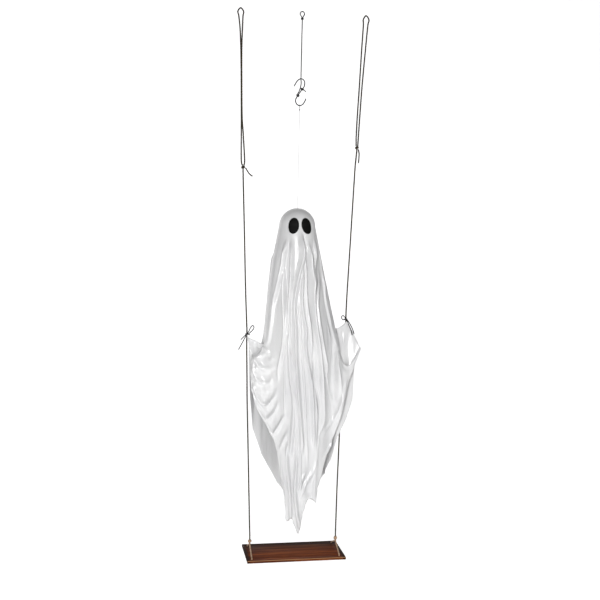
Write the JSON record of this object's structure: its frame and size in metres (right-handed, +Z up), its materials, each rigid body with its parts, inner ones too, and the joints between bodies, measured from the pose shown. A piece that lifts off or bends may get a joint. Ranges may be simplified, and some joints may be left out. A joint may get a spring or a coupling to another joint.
{
  "type": "hanging ghost decoration",
  "caption": "Satin ghost draped over a foam head, hung by a clear line from a hook on a cord, with its hands tied to the ropes of a small wooden swing.",
  "frame": {"origin": "top of the middle cord's hanging loop, from which the whole decoration hangs", "axes": "+Z up along the cords, +X along the swing board's long side towards the ghost's left hand (right in the picture), the face looks along -Y"},
  "size_m": [0.3766, 0.189, 1.5602],
  "materials": {
    "satin": "white satin",
    "black_felt": "black felt",
    "stained_wood": "dark stain",
    "dark_jute": "twisted dark rope",
    "tan_jute": "twisted natural rope",
    "grey_cord": "dark cord",
    "steel_wire": "dark plated wire",
    "clear_nylon": "clear line",
    "foam": "white foam"
  },
  "bodies": {
    "root": {"centre_top_loop": "grey_cord", "centre_top_knot": "grey_cord", "centre_cord": "grey_cord", "hook_lower_wrap": "grey_cord", "hook_upper_wrap": "grey_cord", "s_hook": "steel_wire", "ghost_line_loop": "clear_nylon", "ghost_line_knot": "clear_nylon", "ghost_line": "clear_nylon", "line_stop_knot": "clear_nylon", "head_ball": "foam", "shroud": "satin", "eye_left": "black_felt", "eye_right": "black_felt", "left_top_loop": "dark_jute", "left_upper_knot": "dark_jute", "left_tail": "dark_jute", "left_rope": "dark_jute", "left_seat_knot": "tan_jute", "left_sling": "tan_jute", "right_top_loop": "dark_jute", "right_upper_knot": "dark_jute", "right_tail": "dark_jute", "right_rope": "dark_jute", "right_seat_knot": "tan_jute", "right_sling": "tan_jute", "left_hand_tie": "grey_cord", "right_hand_tie": "grey_cord", "seat_board": "stained_wood"}
  },
  "joints": []
}
